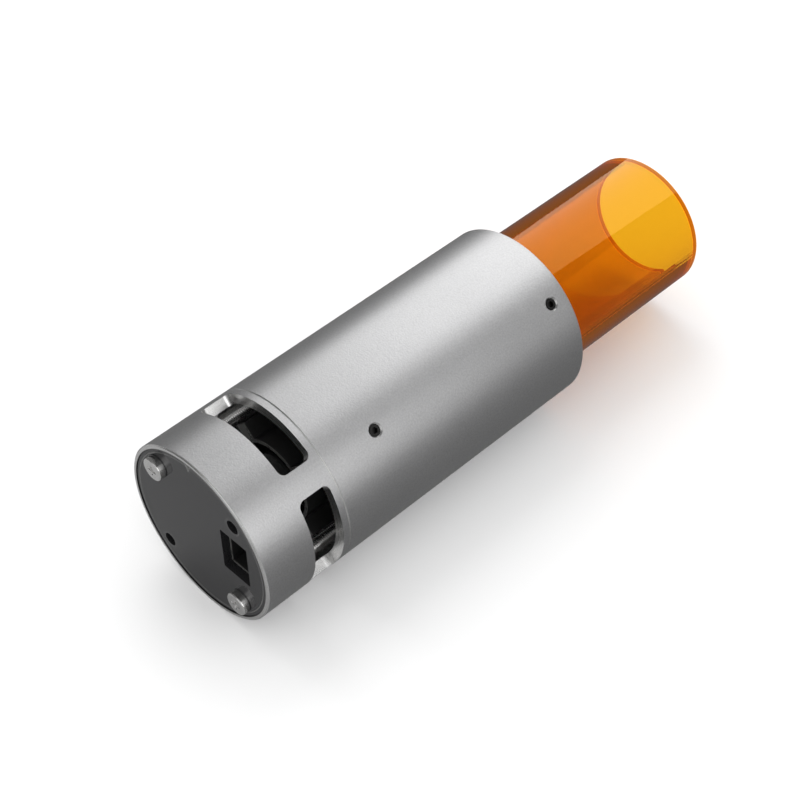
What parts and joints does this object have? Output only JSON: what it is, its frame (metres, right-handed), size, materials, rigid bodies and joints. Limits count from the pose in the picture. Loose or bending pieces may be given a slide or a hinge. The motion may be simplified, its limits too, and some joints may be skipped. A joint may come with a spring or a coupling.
{
  "type": "laser module",
  "caption": "Round fan-cooled laser module with a vented rear cap, a connector plate and a see-through orange shield tube round the beam.",
  "frame": {"origin": "centre of the shield tube's open rim, which the module stands on", "axes": "+Z along the beam axis towards the connector end, X and Y through the middles of the windows"},
  "size_m": [0.043, 0.043, 0.1424],
  "materials": {
    "blasted_aluminium": "bead blasted, clear anodised",
    "smoked_acrylic": "polished",
    "orange_acrylic": "polished, see-through",
    "zinc_steel": "zinc plated",
    "black_steel": "black oxide",
    "black_nylon": "moulded",
    "white_nylon": "moulded",
    "gold_contact": "gold plated",
    "circuit_board": "solder mask over glass laminate",
    "ferrite": "sintered",
    "can_aluminium": "bright drawn",
    "black_epoxy": "moulded",
    "ground_steel": "ground",
    "bearing_bronze": "sintered",
    "core_steel": "stacked plates",
    "copper": "enamelled wire",
    "black_wire": "smooth insulation",
    "extruded_aluminium": "mill finish",
    "turned_brass": "turned",
    "lens_glass": "polished"
  },
  "bodies": {
    "module": {"main_housing": "blasted_aluminium", "vent_cap": "blasted_aluminium", "end_plate": "smoked_acrylic", "plate_screws": "zinc_steel", "set_screws": "black_steel", "socket_body": "black_nylon", "socket_contacts": "gold_contact", "driver_board": "circuit_board", "board_spacers": "white_nylon", "board_rings": "white_nylon", "driver_coil": "ferrite", "driver_capacitor": "can_aluminium", "power_transistor": "black_epoxy", "control_chip": "black_epoxy", "fan_frame": "black_nylon", "fan_bearing": "bearing_bronze", "stator_core": "core_steel", "stator_coils": "copper", "fan_screws": "zinc_steel", "fan_lead": "black_wire", "heat_sink": "extruded_aluminium", "barrel_screws": "black_steel", "laser_barrel": "turned_brass", "laser_diode": "gold_contact", "diode_retainer": "turned_brass", "diode_lead": "black_wire", "focus_spring": "ground_steel", "shield_collar": "extruded_aluminium", "shield_tube": "orange_acrylic"},
    "fan": {"fan_rotor": "black_nylon", "fan_shaft": "ground_steel", "rotor_magnet": "ferrite"},
    "focus": {"lens_cell": "turned_brass", "focus_lens": "lens_glass"}
  },
  "joints": [
    {"name": "fan_spin", "type": "hinge", "parent": "module", "child": "fan", "pos_m": [0, 0, 0.11025], "axis": [0, 0, 1], "continuous": true},
    {"name": "focus_turn", "type": "hinge", "parent": "module", "child": "focus", "pos_m": [0, 0, 0.0613], "axis": [0, 0, 1], "range_deg": [-180, 180]}
  ]
}
